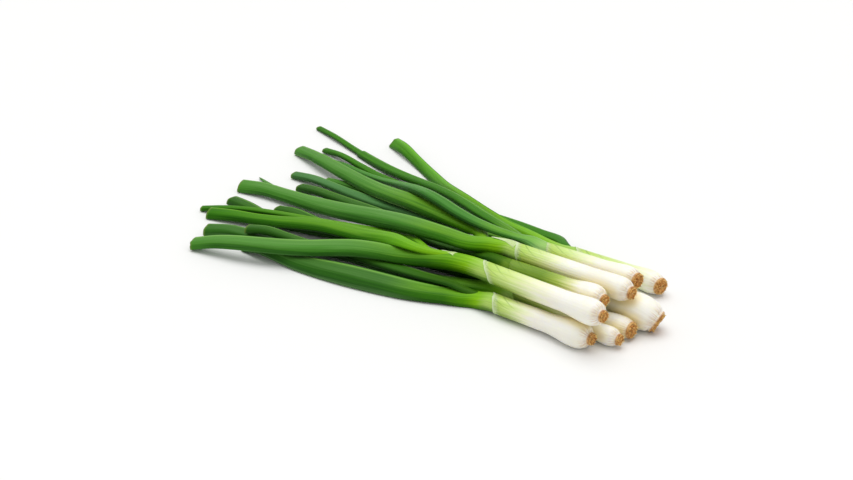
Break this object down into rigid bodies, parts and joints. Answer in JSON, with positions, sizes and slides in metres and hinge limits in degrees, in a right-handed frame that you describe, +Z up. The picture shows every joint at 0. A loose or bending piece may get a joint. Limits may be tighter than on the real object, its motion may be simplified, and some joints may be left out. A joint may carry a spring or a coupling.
{
  "type": "spring onion bunch",
  "caption": "Loose bunch of trimmed spring onions lying flat, white bulbs with tan root plates at one end and long hollow green leaves fanning out to cut ends at the other.",
  "frame": {"origin": "centre of the bunch's outer box, on the surface that it lies on", "axes": "+X along the bunch towards the roots, +Y across it, +Z up from the surface"},
  "size_m": [0.3658, 0.2164, 0.0325],
  "materials": {
    "shaft": "satin plant skin, cream-white at the bulb and pale green with fine veins at the neck",
    "root_plate": "rough, dry, tan to brown cut root base",
    "leaf": "waxy green plant skin with fine lengthwise veins"
  },
  "bodies": {
    "root": {"onion_a_shaft": "shaft", "onion_b_shaft": "shaft", "onion_c_shaft": "shaft", "onion_d_shaft": "shaft", "onion_e_shaft": "shaft", "onion_f_shaft": "shaft", "onion_g_shaft": "shaft", "onion_h_shaft": "shaft", "onion_i_shaft": "shaft", "onion_a_root_plate": "root_plate", "onion_b_root_plate": "root_plate", "onion_c_root_plate": "root_plate", "onion_d_root_plate": "root_plate", "onion_e_root_plate": "root_plate", "onion_f_root_plate": "root_plate", "onion_g_root_plate": "root_plate", "onion_h_root_plate": "root_plate", "onion_i_root_plate": "root_plate", "onion_a_leaf_1": "leaf", "onion_a_leaf_2": "leaf", "onion_b_leaf_1": "leaf", "onion_b_leaf_2": "leaf", "onion_b_leaf_3": "leaf", "onion_c_leaf_1": "leaf", "onion_c_leaf_2": "leaf", "onion_d_leaf_1": "leaf", "onion_e_leaf_1": "leaf", "onion_f_leaf_1": "leaf", "onion_f_leaf_2": "leaf", "onion_g_leaf_1": "leaf", "onion_g_leaf_2": "leaf", "onion_h_leaf_1": "leaf", "onion_h_leaf_2": "leaf", "onion_h_leaf_3": "leaf", "onion_i_leaf_1": "leaf", "onion_i_leaf_2": "leaf"}
  },
  "joints": []
}
